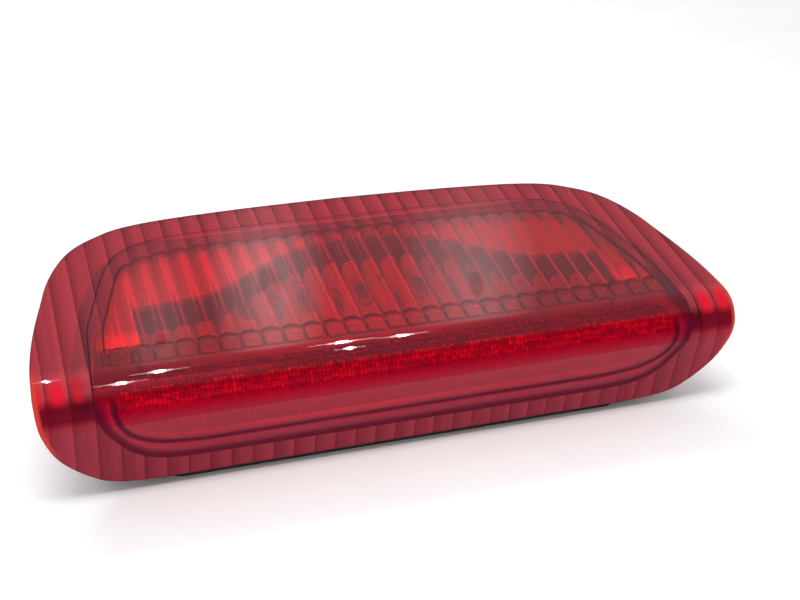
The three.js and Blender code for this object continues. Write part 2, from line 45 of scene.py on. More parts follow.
# Millimetres and radians. The lens's side section is two straight faces joined by a round nose.
MM = 0.001
PITCH = 9.5  # one flute
PHASE = 14.76  # the lamp's middle, in flutes from the first one
RISE = math.radians(14.8)  # the upper face, above level
LEAN = math.radians(16.4)  # the lower face, off upright
NOSE_RADIUS = 18.0
LOWER_RUN = 50.6  # sharp nose corner to the lens's lower edge
FOOT = 3.6  # height of the lens's lower edge above the base
SHIFT_Y = -52.1372  # from the section's own frame to the model's

UP = np.array([math.cos(RISE), math.sin(RISE)])
DOWN = np.array([math.sin(LEAN), -math.cos(LEAN)])
UP_IN = np.array([UP[1], -UP[0]])
DOWN_IN = np.array([-DOWN[1], DOWN[0]])
CORNER = -DOWN * LOWER_RUN + np.array([0.0, FOOT])
NOSE_ANGLE = math.acos(UP @ DOWN)
TANGENT = NOSE_RADIUS / math.tan(NOSE_ANGLE / 2)
BISECT = (UP + DOWN) / np.linalg.norm(UP + DOWN)
NOSE_CENTRE = CORNER + BISECT * NOSE_RADIUS / math.sin(NOSE_ANGLE / 2)
NOSE_START = math.atan2(-DOWN_IN[1], -DOWN_IN[0]) % (2 * math.pi)
NOSE_END = math.atan2(-UP_IN[1], -UP_IN[0])


# ---------- curves over the lens ----------

def smooth_table(pairs):
    """A monotone cubic through (x, y) pairs, as a function of arrays."""
    x = np.array([p[0] for p in pairs], float)
    y = np.array([p[1] for p in pairs], float)
    h = np.diff(x)
    d = np.diff(y) / h
    m = np.zeros_like(x)
    m[0], m[-1] = d[0], d[-1]
    for i in range(1, len(x) - 1):
        if d[i - 1] * d[i] > 0:
            w1, w2 = 2 * h[i] + h[i - 1], h[i] + 2 * h[i - 1]
            m[i] = (w1 + w2) / (w1 / d[i - 1] + w2 / d[i])

    def value(at):
        at = np.clip(np.asarray(at, float), x[0], x[-1])
        i = np.clip(np.searchsorted(x, at, side="right") - 1, 0, len(h) - 1)
        t = (at - x[i]) / h[i]
        a = (1 + 2 * t) * (1 - t) ** 2 * y[i] + t * (1 - t) ** 2 * h[i] * m[i]
        b = t * t * (3 - 2 * t) * y[i + 1] + t * t * (t - 1) * h[i] * m[i + 1]
        return a + b

    return value


# In flutes: the lens's rear and lower edges against the distance from the middle. Positive is up
# the upper face from the sharp nose corner, negative is down the lower face.
REAR_EDGE = smooth_table([
    (0, 13.965), (4.9, 13.86), (7.9, 13.72), (9.6, 13.59), (11, 13.4), (12.2, 13.1), (13.2, 12.6),
    (14.2, 11.93), (14.75, 11.35), (15.3, 10.5), (15.95, 9.0), (16.35, 7.5), (16.8, 5.7),
    (17.08, 4.25), (17.22, 3.2), (17.3, 2.2), (17.34, 0.9),
])
FRONT_EDGE = smooth_table([
    (0, -5.32), (12.2, -5.32), (13.5, -5.23), (14.5, -4.98), (15.3, -4.48), (15.9, -3.95), (16.5, -3.25),
    (16.93, -2.4), (17.18, -1.5), (17.3, -0.5), (17.34, 0.5),
])
HALF = 17.34


def on_section(run, depth):
    """(y, z) in millimetres at a run along the section and a depth under its outer surface."""
    run, depth = np.broadcast_arrays(np.asarray(run, float), np.asarray(depth, float))
    y = np.empty(run.shape)
    z = np.empty(run.shape)
    up = run >= TANGENT
    low = run <= -TANGENT
    mid = ~(up | low)
    for mask, way, inward, sign in ((up, UP, UP_IN, 1), (low, DOWN, DOWN_IN, -1)):
        y[mask] = CORNER[0] + way[0] * sign * run[mask] + inward[0] * depth[mask]
        z[mask] = CORNER[1] + way[1] * sign * run[mask] + inward[1] * depth[mask]
    share = (run[mid] + TANGENT) / (2 * TANGENT)
    angle = NOSE_START + (NOSE_END - NOSE_START) * share
    radius = NOSE_RADIUS - depth[mid]
    y[mid] = NOSE_CENTRE[0] + np.cos(angle) * radius
    z[mid] = NOSE_CENTRE[1] + np.sin(angle) * radius
    return y, z


def place(x, run, depth):
    """Model-frame points in metres for flat lens coordinates in millimetres."""
    y, z = on_section(run, depth)
    x = np.broadcast_to(x, y.shape)
    return np.stack([x, y + SHIFT_Y, z], -1) * MM


def outline(half, rear, front, steps=150):
    """Closed (x, run) polygon in millimetres round a shape that is the same on both sides."""
    a = np.sin(np.linspace(0, math.pi / 2, steps)) * half
    right = np.concatenate([
        np.stack([a, rear(a)], -1), np.stack([a[::-1], front(a[::-1])], -1),
    ])
    left = right[::-1] * [-1, 1]
    return np.concatenate([right, left]) * PITCH


POINTS_AT_ONCE = 4000


def distance(x, run, polygon):
    """Distance in millimetres to a closed polygon."""
    a = polygon
    b = np.roll(polygon, -1, 0)
    ab = b - a
    length = np.maximum((ab ** 2).sum(1), 1e-9)
    best = np.full(x.size, 1e9)
    p = np.stack([x.ravel(), run.ravel()], -1)
    for start in range(0, len(p), POINTS_AT_ONCE):
        q = p[start:start + POINTS_AT_ONCE]
        t = ((q[:, None, :] - a) * ab).sum(2) / length
        near = a + np.clip(t, 0, 1)[..., None] * ab
        best[start:start + POINTS_AT_ONCE] = np.sqrt(((q[:, None, :] - near) ** 2).sum(2)).min(1)
    return best.reshape(x.shape)


def within(x, run, half, rear, front):
    """Which points lie inside a shape, given as its half width and its two edges in flutes."""
    flutes = np.abs(x) / PITCH
    return (np.abs(x) < half * PITCH) & (run < rear(flutes) * PITCH) & (run > front(flutes) * PITCH)


def smoothstep(low, high, value):
    t = np.clip((value - low) / (high - low), 0, 1)
    return t * t * (3 - 2 * t)


def mesh_object(name, verts, faces, split=30):
    """A closed mesh of quads, turned outwards, smooth except at edges sharper than split."""
    verts = np.asarray(verts, np.float64)
    faces = np.asarray(faces, np.int32)
    a, b, c, d = (verts[faces[:, i]] for i in range(4))
    volume = (a * np.cross(b, c)).sum() + (a * np.cross(c, d)).sum()
    if volume < 0:
        faces = faces[:, ::-1]
    mesh = bpy.data.meshes.new(name)
    mesh.vertices.add(len(verts))
    mesh.vertices.foreach_set("co", verts.astype(np.float32).ravel())
    mesh.loops.add(faces.size)
    mesh.loops.foreach_set("vertex_index", np.ascontiguousarray(faces).ravel())
    mesh.polygons.add(len(faces))
    mesh.polygons.foreach_set("loop_start", np.arange(0, faces.size, 4, dtype=np.int32))
    mesh.update(calc_edges=True)
    mesh.validate()
    mesh.shade_smooth()
    mesh.set_sharp_from_angle(angle=math.radians(split))
    obj = bpy.data.objects.new(name, mesh)
    bpy.context.scene.collection.objects.link(obj)
    return obj


def closed_grid(rows, columns):
    """Faces of two matching grids, one after the other, joined round their borders."""
    count = rows * columns
    ring = (
        [(0, c) for c in range(columns)] + [(r, columns - 1) for r in range(1, rows)]
        + [(rows - 1, c) for c in range(columns - 2, -1, -1)] + [(r, 0) for r in range(rows - 2, 0, -1)]
    )
    ring = np.array([r * columns + c for r, c in ring])
    following = np.roll(ring, -1)
    return np.concatenate([
        grid_faces(rows, columns), grid_faces(rows, columns, count, True),
        np.stack([ring, following, following + count, ring + count], -1)[:, ::-1],
    ])


def grid_faces(rows, columns, offset=0, flip=False):
    """The quads of one grid of points, counted from offset."""
    i = np.arange(rows - 1)[:, None] * columns + np.arange(columns - 1)[None, :] + offset
    quads = np.stack([i, i + 1, i + columns + 1, i + columns], -1).reshape(-1, 4)
    return quads[:, ::-1] if flip else quads


# ---------- materials ----------

def material(name):
    mat = bpy.data.materials.new(name)
    mat.use_nodes = True
    tree = mat.node_tree
    return mat, tree, tree.nodes["Principled BSDF"], tree.nodes["Material Output"]


def node(tree, kind, **values):
    """A new node. Values named in_... go to its sockets, the others to its settings."""
    made = tree.nodes.new(kind)
    for key, value in values.items():
        if key.startswith("in_"):
            made.inputs[key[3:].replace("_", " ")].default_value = value
        else:
            setattr(made, key, value)
    return made


def feed(tree, socket, value):
    """Link a socket to another one, or give it a constant."""
    if isinstance(value, bpy.types.NodeSocket):
        tree.links.new(value, socket)
    else:
        socket.default_value = value


def object_coords(tree, scale=(1, 1, 1)):
    coords = node(tree, "ShaderNodeTexCoord")
    mapping = node(tree, "ShaderNodeMapping", in_Scale=scale)
    tree.links.new(coords.outputs["Object"], mapping.inputs["Vector"])
    return mapping.outputs["Vector"]


def along(tree, axis):
    """The piece's own X, Y or Z in metres."""
    split = node(tree, "ShaderNodeSeparateXYZ")
    tree.links.new(object_coords(tree), split.inputs[0])
    return split.outputs[axis]


def attribute(tree, name):
    return node(tree, "ShaderNodeAttribute", attribute_name=name).outputs["Fac"]


def ramp(tree, source, stops):
    """A colour ramp from (position, colour) stops. A colour that is one number is a grey."""
    made = node(tree, "ShaderNodeValToRGB")
    while len(made.color_ramp.elements) < len(stops):
        made.color_ramp.elements.new(0.5)
    for element, (position, colour) in zip(made.color_ramp.elements, stops):
        rgb = colour if isinstance(colour, tuple) else (colour,) * 3
        element.position = position
        element.color = (*rgb, 1)
    tree.links.new(source, made.inputs["Fac"])
    return made.outputs["Color"]


def levels(tree, source, stops):
    """A curve over a source in its own units, from (value, level) stops."""
    low, high = stops[0][0], stops[-1][0]
    scaled = node(tree, "ShaderNodeMapRange", in_From_Min=low, in_From_Max=high)
    tree.links.new(source, scaled.inputs["Value"])
    return ramp(tree, scaled.outputs["Result"], [((v - low) / (high - low), g) for v, g in stops])


def arithmetic(tree, operation, *values):
    made = node(tree, "ShaderNodeMath", operation=operation)
    for socket, value in zip(made.inputs, values):
        feed(tree, socket, value)
    return made.outputs[0]


def mixed(tree, share, first, second, blend="MIX"):
    """Two colours, blended by a share. Each is a socket or a constant."""
    made = node(tree, "ShaderNodeMix", data_type="RGBA", blend_type=blend)
    for index, value in ((0, share), (6, first), (7, second)):
        feed(tree, made.inputs[index], value)
    return made.outputs[2]


def multiplied(tree, product, *others):
    for other in others:
        product = mixed(tree, 1, product, other, "MULTIPLY")
    return product


def largest(tree, value, *others):
    for other in others:
        value = arithmetic(tree, "MAXIMUM", value, other)
    return value


def diffuse(tree, colour):
    made = node(tree, "ShaderNodeBsdfDiffuse")
    feed(tree, made.inputs["Color"], colour)
    return made.outputs["BSDF"]


def shader_mix(tree, share, first, second):
    made = node(tree, "ShaderNodeMixShader")
    for socket, value in zip(made.inputs, (share, first, second)):
        tree.links.new(value, socket)
    return made.outputs["Shader"]


def noise(tree, scale, detail=4, roughness=0.55, stretch=(1, 1, 1)):
    made = node(tree, "ShaderNodeTexNoise", in_Scale=scale, in_Detail=detail, in_Roughness=roughness)
    tree.links.new(object_coords(tree, stretch), made.inputs["Vector"])
    return made.outputs["Fac"]


def bump(tree, shader, height, strength, distance_m):
    made = node(tree, "ShaderNodeBump", in_Strength=strength, in_Distance=distance_m)
    tree.links.new(height, made.inputs["Height"])
    tree.links.new(made.outputs["Normal"], shader.inputs["Normal"])


def moulded(name, dark, light, rough_low, rough_high, grain=2600, grain_depth=0.00006, metal=0.0):
    """Moulded or pressed material: mottled colour, uneven gloss and a fine grain."""
    mat, tree, shader, _ = material(name)
    colour = ramp(tree, noise(tree, 90, 5), [(0.3, dark), (0.72, light)])
    gloss = ramp(tree, noise(tree, 240, 3), [(0.3, rough_low), (0.75, rough_high)])
    tree.links.new(colour, shader.inputs["Base Color"])
    tree.links.new(gloss, shader.inputs["Roughness"])
    bump(tree, shader, noise(tree, grain, 2), 0.5, grain_depth)
    shader.inputs["Metallic"].default_value = metal
    return mat


def see_through(name, tint, rough, ior):
    """Clear tinted plastic or glass. Lamps reach through it without bending."""
    mat, tree, shader, output = material(name)
    dusty = rough * 2 + 0.01
    shader.inputs["Base Color"].default_value = (*tint, 1)
    gloss = ramp(tree, noise(tree, 700, 3), [(0.45, rough), (0.75, dusty)])
    tree.links.new(gloss, shader.inputs["Roughness"])
    shader.inputs["IOR"].default_value = ior
    shader.inputs["Transmission Weight"].default_value = 1
    clear = node(tree, "ShaderNodeBsdfTransparent", in_Color=(*tint, 1))
    path = node(tree, "ShaderNodeLightPath")
    surface = shader_mix(
        tree, path.outputs["Is Shadow Ray"], shader.outputs["BSDF"], clear.outputs["BSDF"]
    )
    tree.links.new(surface, output.inputs["Surface"])
    return mat, clear, surface


def film_finish_by_height(mat):
    """Sets the film's colour and gloss by height: bright in the tray, and darker, dull and satin on the
    shelf over it.
    """
    tray_m, shelf_m = 0.0572, 0.0595
    tree = mat.node_tree
    shader = tree.nodes["Principled BSDF"]
    height = along(tree, "Z")
    colour = shader.inputs["Base Color"].links[0].from_socket
    dull = levels(tree, height, [(tray_m, 0.95), (shelf_m, 0.27)])
    tree.links.new(multiplied(tree, colour, dull), shader.inputs["Base Color"])
    tree.links.new(levels(tree, height, [(tray_m, 0.6), (shelf_m, 0.3)]), shader.inputs["Metallic"])
    tree.links.new(levels(tree, height, [(tray_m, 0.16), (shelf_m, 0.45)]), shader.inputs["Roughness"])


black_plastic = moulded("black_moulded_plastic", (0.008, 0.008, 0.009), (0.02, 0.02, 0.022), 0.42, 0.62)
grey_plastic = moulded("grey_nylon", (0.3, 0.3, 0.31), (0.42, 0.42, 0.43), 0.35, 0.52)
rubber = moulded("foam_rubber", (0.012, 0.012, 0.012), (0.03, 0.03, 0.03), 0.75, 0.95, 1400, 0.00018)
mirror = moulded("metallised_film", (0.75, 0.75, 0.77), (0.86, 0.86, 0.88), 0.1, 0.2, 300, 0.00003)
brass = moulded("brass_strip", (0.5, 0.36, 0.14), (0.74, 0.56, 0.26), 0.2, 0.42, 1800, 0.00002, 1.0)
steel = moulded("zinc_steel", (0.42, 0.43, 0.44), (0.66, 0.67, 0.68), 0.24, 0.45, 1800, 0.00003, 1.0)
wire = moulded("filament_wire", (0.22, 0.22, 0.23), (0.42, 0.42, 0.43), 0.3, 0.5, 3000, 0.00002, 1.0)
glass, *_ = see_through("bulb_clear_glass", (0.97, 0.98, 0.98), 0.02, 1.5)
film_finish_by_height(mirror)

FINISHES = {
    "mirror": mirror, "black_plastic": black_plastic, "grey_plastic": grey_plastic, "rubber": rubber,
    "bulb_glass": glass, "filament": wire, "brass": brass, "steel": steel,
}
for part in frame["record"]["subparts"]:
    if part["material_slot"] in FINISHES:
        obj = nodes[part["node"]]
        obj.data.materials.clear()
        obj.data.materials.append(FINISHES[part["material_slot"]])


# ---------- the lens ----------

SKIN = 0.08  # the drawn surface lies this far inside the CAD one
EDGE_RADIUS = 1.1
RIM_WALL = 3.0
RIM_FLUTE = 0.6  # how deep the rim's flutes are cut
WINDOW_WALL = 2.5
FLUTE_CROWN = 0.8
PILLOW_CROWN = 0.7
LEAST_WALL = 0.6
FLUTES_FROM = 3.2 * PITCH  # up the upper face from the sharp nose corner
PILLOWS_FROM = 2.3 * PITCH
FLUTE_TOP_GAP = 11.5  # the flutes' round tops end about this far inside the window's rear edge
FLUTE_SIDE_GAP = 6.0
PILLOW_SIDE_GAP = 5.0
PILLOW_TOP_GAP = 0.9
TOP_ARCH = 3.0  # how far a flute's round top reaches up
FOOT_ARCH = 2.6
LENS_ROWS = 250
FLUTE_COLUMNS = 10

# The clear window inside the rim, and the prism sheet behind it, in flutes as above.
WINDOW_HALF = 14.75
WINDOW_REAR = smooth_table([
    (0, 12.1), (6.3, 12.05), (9.2, 11.93), (10.9, 11.6), (11.9, 11.15), (12.5, 10.6), (13.0, 9.8),
    (13.4, 8.75), (13.75, 7.6), (14.1, 6.4), (14.5, 4.8), (14.75, 1.2),
])
WINDOW_FRONT = smooth_table([
    (0, -4.12), (10.2, -4.1), (11.6, -4.0), (12.5, -3.78), (13.1, -3.45), (13.6, -3.02), (14.0, -2.5),
    (14.4, -1.9), (14.65, -1.1), (14.75, 0.0),
])
SHEET_HALF = 13.9
SHEET_FRONT = smooth_table([
    (0, -3.1), (9.5, -3.1), (11.6, -2.95), (12.9, -2.5), (13.6, -1.8), (13.9, -0.8),
])
SHEET_REAR = smooth_table([(0, 2.1), (12.9, 2.1), (13.5, 1.8), (13.8, 1.2), (13.9, 0.2)])


def flute_columns(half, per_flute):
    """x positions in millimetres, on every flute edge and closer together at the round ends."""
    low, high = PHASE - half, PHASE + half
    edges = [low] + [k for k in range(math.ceil(low + 0.1), math.floor(high - 0.1) + 1)] + [high]
    end_steps = round(per_flute * 2.4)
    x = []
    for a, b in zip(edges, edges[1:]):
        t = np.linspace(0, 1, end_steps if a == low or b == high else per_flute, endpoint=False)
        if a == low:
            t = t ** 2
        elif b == high:
            t = 1 - (1 - t) ** 2
        x += list(a + (b - a) * t)
    return (np.array(x + [high]) - PHASE) * PITCH


def signed_distance(x, run, half, rear, front):
    """Millimetres to a shape's outline, positive inside it."""
    away = distance(x, run, outline(half, rear, front))
    return np.where(within(x, run, half, rear, front), away, -away)


def lens_fields(across, run, crown, phase):
    """Millimetres from each feature of the lens's inner face, positive inside it."""
    window = signed_distance(across, run, WINDOW_HALF, WINDOW_REAR, WINDOW_FRONT)
    # flutes in the window stop in round ends up the upper face, and over a row of rounded
    # pillows at the nose
    flutes = np.minimum(np.abs(across) / PITCH, WINDOW_HALF - 0.01)
    rear_end = WINDOW_REAR(flutes) * PITCH - FLUTE_TOP_GAP
    low_end = FLUTES_FROM + FOOT_ARCH * crown
    scallop = np.minimum(rear_end - run + TOP_ARCH * (crown - 0.6), run - low_end)
    scallop = np.minimum(scallop, window - FLUTE_SIDE_GAP)
    pillow = np.minimum(low_end - PILLOW_TOP_GAP - run, run - PILLOWS_FROM)
    pillow = np.minimum(pillow, (1 - np.abs(phase)) * PITCH / 2)
    pillow = np.minimum(pillow, window - PILLOW_SIDE_GAP)
    return {
        "edge": distance(across, run, outline(HALF, REAR_EDGE, FRONT_EDGE)), "window": window,
        "run": run, "scallop": scallop, "pillow": pillow,
        "sheet": signed_distance(across, run, SHEET_HALF, SHEET_REAR, SHEET_FRONT),
    }


def build_lens():
    """One closed shell, plain outside, fluted and pillowed inside."""
    x = flute_columns(HALF, FLUTE_COLUMNS)
    t = np.linspace(0, 1, LENS_ROWS)
    rear = REAR_EDGE(np.abs(x) / PITCH) * PITCH
    front = FRONT_EDGE(np.abs(x) / PITCH) * PITCH
    run = front[None, :] + (rear - front)[None, :] * t[:, None]
    across = np.broadcast_to(x, run.shape)
    phase = (across / PITCH + PHASE) % 1.0 * 2 - 1
    crown = 1 - phase ** 2
    fields = lens_fields(across, run, crown, phase)
    edge, window = fields["edge"], fields["window"]

    inset = np.clip(EDGE_RADIUS - edge, 0, EDGE_RADIUS)
    rounding = EDGE_RADIUS - np.sqrt(np.maximum(EDGE_RADIUS ** 2 - inset ** 2, 0))
    outer_depth = SKIN + rounding
    rim = smoothstep(0.4, 2.4, edge) * smoothstep(-0.2, -1.0, window)
    rim_wall = RIM_WALL - RIM_FLUTE * (1 - crown) * rim
    step = smoothstep(-0.4, 0.4, window)
    relief = (
        FLUTE_CROWN * crown * smoothstep(0, 2.4, fields["scallop"])
        + PILLOW_CROWN * smoothstep(0, 1.8, fields["pillow"])
    )
    wall = rim_wall * (1 - step) + WINDOW_WALL * step + relief * step
    inner_depth = np.maximum(wall, outer_depth + LEAST_WALL)

    # the rear edge stands upright, so that the depth doesn't carry it past the CAD lens
    upright = math.tan(RISE) * smoothstep(0.8, 1.0, run / rear[None, :])
    outer = place(across, run - upright * outer_depth, outer_depth).reshape(-1, 3)
    inner = place(across, run - upright * inner_depth, inner_depth).reshape(-1, 3)
    made = mesh_object("lens_shell", np.concatenate([outer, inner]), closed_grid(LENS_ROWS, len(x)))
    for name, field in fields.items():
        layer = made.data.attributes.new(name, "FLOAT", "POINT")
        layer.data.foreach_set("value", np.tile(field.ravel(), 2).astype(np.float32))
    return made


# The lens's colours come from its fields: window, sheet, edge, scallop and pillow in millimetres,
# and run in flutes.
HAZE_RED = (0.62, 0.01, 0.07, 1)
PAINTED_GLOW_RED = (0.8, 0.004, 0.025, 1)
PAINTED_EDGE_GLOW = (0.6, 0.062, 0.034, 1)
PAINTED_SHADE_MAROON = (0.035, 0.003, 0.012, 1)


def flute_share(tree):
    """0 to 1 across each flute, from the piece's own X."""
    flutes = arithmetic(tree, "MULTIPLY", along(tree, "X"), 1 / (PITCH * MM))
    return arithmetic(tree, "FRACT", arithmetic(tree, "ADD", flutes, PHASE))


def passing_light(tree, window, run):
    """The tint of lamplight that comes through. Little of it gets through the rim."""
    passed = multiplied(
        tree, levels(tree, window, [(-1, 0.1), (1, 1.0)]), levels(tree, run, [(-4.0, 0.5), (-1.0, 1.0)])
    )
    return ramp(tree, passed, [(0, (0.02, 0.001, 0.001)), (1, (0.85, 0.16, 0.17))])


def rim_colour_and_painted_light(tree, run):
    """The rim plastic's red, with painted light on it: painted shading across each flute and over the nose,
    painted shade at the edge, and a painted glow where light is piped to an end.
    """
    flute = flute_share(tree)
    edge = attribute(tree, "edge")
    out = arithmetic(tree, "ABSOLUTE", along(tree, "X"))
    # painted shading: each flute dark on one side and bright on the other, as refraction shades it
    painted_flute_shading = ramp(tree, flute, [
        (0.0, (0.07, 0.01, 0.016)), (0.08, (0.19, 0.024, 0.036)), (0.6, (0.29, 0.036, 0.05)),
        (0.93, (0.345, 0.043, 0.058)), (1.0, (0.12, 0.014, 0.022)),
    ])
    # painted light and shade: a dark band just under the nose and a brighter band over it
    painted_nose_shading = levels(tree, run, [
        (-1.3, 0.93), (-0.8, 0.12), (0.05, 0.12), (0.7, 1.15), (1.9, 1.5), (2.6, 1.0),
    ])
    streaks = ramp(tree, noise(tree, 260, 2, stretch=(1, 0.04, 0.04)), [(0.35, 0.86), (0.62, 1.06)])
    # painted light: a saturated glow patch in each flute at the ends, for light piped there
    painted_glow_patch = multiplied(
        tree, ramp(tree, flute, [(0.03, 0.0), (0.38, 1.0), (0.62, 1.0), (0.97, 0.0)]),
        levels(tree, run, [(-0.1, 0.0), (0.5, 0.9), (1.0, 1.0), (1.4, 0.7), (2.2, 0.0)]),
        levels(tree, out, [(0.142, 0.0), (0.147, 1.0)]),
    )
    colour = mixed(tree, painted_glow_patch, multiplied(tree, painted_flute_shading, painted_nose_shading, streaks), PAINTED_GLOW_RED)
    # painted shade: darker on the lens's rounded edge
    colour = multiplied(tree, colour, levels(tree, edge, [(0.3, 0.4), (1.2, 1.0)]))
    # and a painted orange glow line along the ends' own edge
    glow = multiplied(
        tree, levels(tree, edge, [(1.5, 1.0), (2.6, 0.0)]), levels(tree, out, [(0.138, 0.0), (0.152, 1.0)]),
        levels(tree, run, [(-3.4, 0.0), (-2.2, 1.0), (1.8, 1.0), (3.0, 0.05)]),
    )
    return mixed(tree, glow, colour, PAINTED_EDGE_GLOW)


def haze_share(tree, window, run, sheet):
    """How far the window's haze hides what is behind it, most of it low down."""
    over_window = multiplied(
        tree, levels(tree, window, [(-0.1, 0.0), (0.3, 1.0)]),
        levels(tree, run, [
            (-3.4, 0.26), (-1.2, 0.24), (-0.6, 0.12), (0.4, 0.1), (2.0, 0.07), (2.4, 0.02), (3.6, 0.045),
        ]),
    )
    round_sheet = multiplied(
        tree, levels(tree, sheet, [(-1.2, 0.34), (0.2, 0.0)]), levels(tree, run, [(-0.6, 1.0), (0.6, 0.0)])
    )
    return largest(tree, over_window, round_sheet)


def rim_colour_share(tree, window, run):
    """The rim shows its colour with its painted light, and so does a band round the upper window's flutes.
    """
    rim = levels(tree, window, [(-0.5, 0.62), (0.3, 0.0)])
    band = multiplied(
        tree, levels(tree, attribute(tree, "scallop"), [(-0.6, 0.42), (0.4, 0.0)]),
        levels(tree, run, [(3.6, 0.0), (5.0, 1.0)]),
    )
    return largest(tree, rim, band)


def painted_shade_share(tree, window, run, sheet):
    """Painted shade: dark lines on the moulding's steps and grooves, and a darker band over the nose."""
    lower = levels(tree, run, [(-0.6, 1.0), (0.4, 0.0)])
    rim_line = levels(tree, window, [(-0.5, 0), (-0.15, 0.7), (0.05, 0.7), (0.4, 0)])
    scallop = attribute(tree, "scallop")
    flute_ends = levels(tree, scallop, [(-0.1, 0), (0.3, 0.45), (0.8, 0.45), (1.3, 0)])
    sheet_line = levels(tree, sheet, [(-2.6, 0), (-1.2, 0.72), (-0.2, 0.72), (1.3, 0)])
    window_wall = levels(tree, window, [(-0.1, 0.0), (0.2, 0.75), (2.0, 0.62), (4.8, 0)])
    pillow_lines = multiplied(
        tree, levels(tree, attribute(tree, "pillow"), [(-0.7, 0), (-0.1, 0.26), (0.25, 0.22), (1.0, 0)]),
        levels(tree, window, [(4.0, 0.0), (5.5, 1.0)]),
    )
    nose_shade = multiplied(
        tree, levels(tree, run, [(0.5, 0.0), (0.7, 0.2), (1.9, 0.14), (2.3, 0.0)]),
        levels(tree, window, [(-0.1, 0.0), (0.5, 1.0)]),
    )
    return largest(
        tree, rim_line, flute_ends, multiplied(tree, sheet_line, lower),
        multiplied(tree, window_wall, lower), pillow_lines, nose_shade,
    )


def red_lens_material():
    mat, clear, surface = see_through("red_acrylic", (0.74, 0.012, 0.03), 0.018, 1.49)
    tree = mat.node_tree
    tree.nodes["Principled BSDF"].inputs["Specular IOR Level"].default_value = 0.42
    window = attribute(tree, "window")
    sheet = attribute(tree, "sheet")
    run = arithmetic(tree, "MULTIPLY", attribute(tree, "run"), 1 / PITCH)
    tree.links.new(passing_light(tree, window, run), clear.inputs["Color"])
    for share, colour in (
        (haze_share(tree, window, run, sheet), HAZE_RED),
        (rim_colour_share(tree, window, run), rim_colour_and_painted_light(tree, run)),
        (painted_shade_share(tree, window, run, sheet), PAINTED_SHADE_MAROON),
    ):
        surface = shader_mix(tree, share, surface, diffuse(tree, colour))
    tree.links.new(surface, tree.nodes["Material Output"].inputs["Surface"])
    return mat


lens = build_lens()
lens.data.materials.append(red_lens_material())
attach(lens, "lamp")
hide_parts("outer_lens")


# ---------- prism sheet behind the lower face ----------

CELL_WIDE = PITCH / 5
CELL_TALL = PITCH * 0.31
CELL_STEPS = 4
CELL_ROWS = 20
SHEET_DEPTH = 6.2  # under the lens's outer surface
SHEET_BACK = 7.9
PRISM_CROWN = 0.5
PLAIN_RED = (0.62, 0.01, 0.06, 1)
PAINTED_GLINT = (1.0, 0.9, 1.0, 1)


def build_prism_sheet():
    """A sheet of small pillow prisms behind the lower face, carried up over the nose."""
    columns = int(2 * SHEET_HALF * PITCH / CELL_WIDE) * CELL_STEPS + 1
    rows = CELL_ROWS * CELL_STEPS + 1
    x = np.linspace(-SHEET_HALF, SHEET_HALF, columns) * PITCH
    t = np.linspace(0, 1, rows)
    front = SHEET_FRONT(np.abs(x) / PITCH) * PITCH
    rear = SHEET_REAR(np.abs(x) / PITCH) * PITCH
    run = front[None, :] + (rear - front)[None, :] * t[:, None]
    across = np.broadcast_to(x, run.shape)
    u = (across / CELL_WIDE) % 1.0 * 2 - 1
    v = (run / CELL_TALL) % 1.0 * 2 - 1
    pillow = np.sqrt(np.maximum((1 - u ** 2) * (1 - v ** 2), 0))
    top = place(across, run, SHEET_DEPTH - PRISM_CROWN * pillow).reshape(-1, 3)
    bottom = place(across, run, np.full(run.shape, SHEET_BACK)).reshape(-1, 3)
    made = mesh_object("prism_sheet", np.concatenate([top, bottom]), closed_grid(rows, columns), 35)
    layer = made.data.attributes.new("run", "FLOAT", "POINT")
    layer.data.foreach_set("value", np.tile(run.ravel(), 2).astype(np.float32))
    return made


def lot(tree, cell_x, cell_v, wide, tall):
    """A random number for each block of prisms."""
    index = node(tree, "ShaderNodeCombineXYZ")
    for socket, cell, size in zip(index.inputs, (cell_x, cell_v), (wide, tall)):
        blocks = arithmetic(tree, "DIVIDE", cell, size)
        tree.links.new(arithmetic(tree, "FLOOR", blocks), socket)
    drawn = node(tree, "ShaderNodeTexWhiteNoise", noise_dimensions="2D")
    tree.links.new(index.outputs[0], drawn.inputs["Vector"])
    return drawn.outputs["Value"]


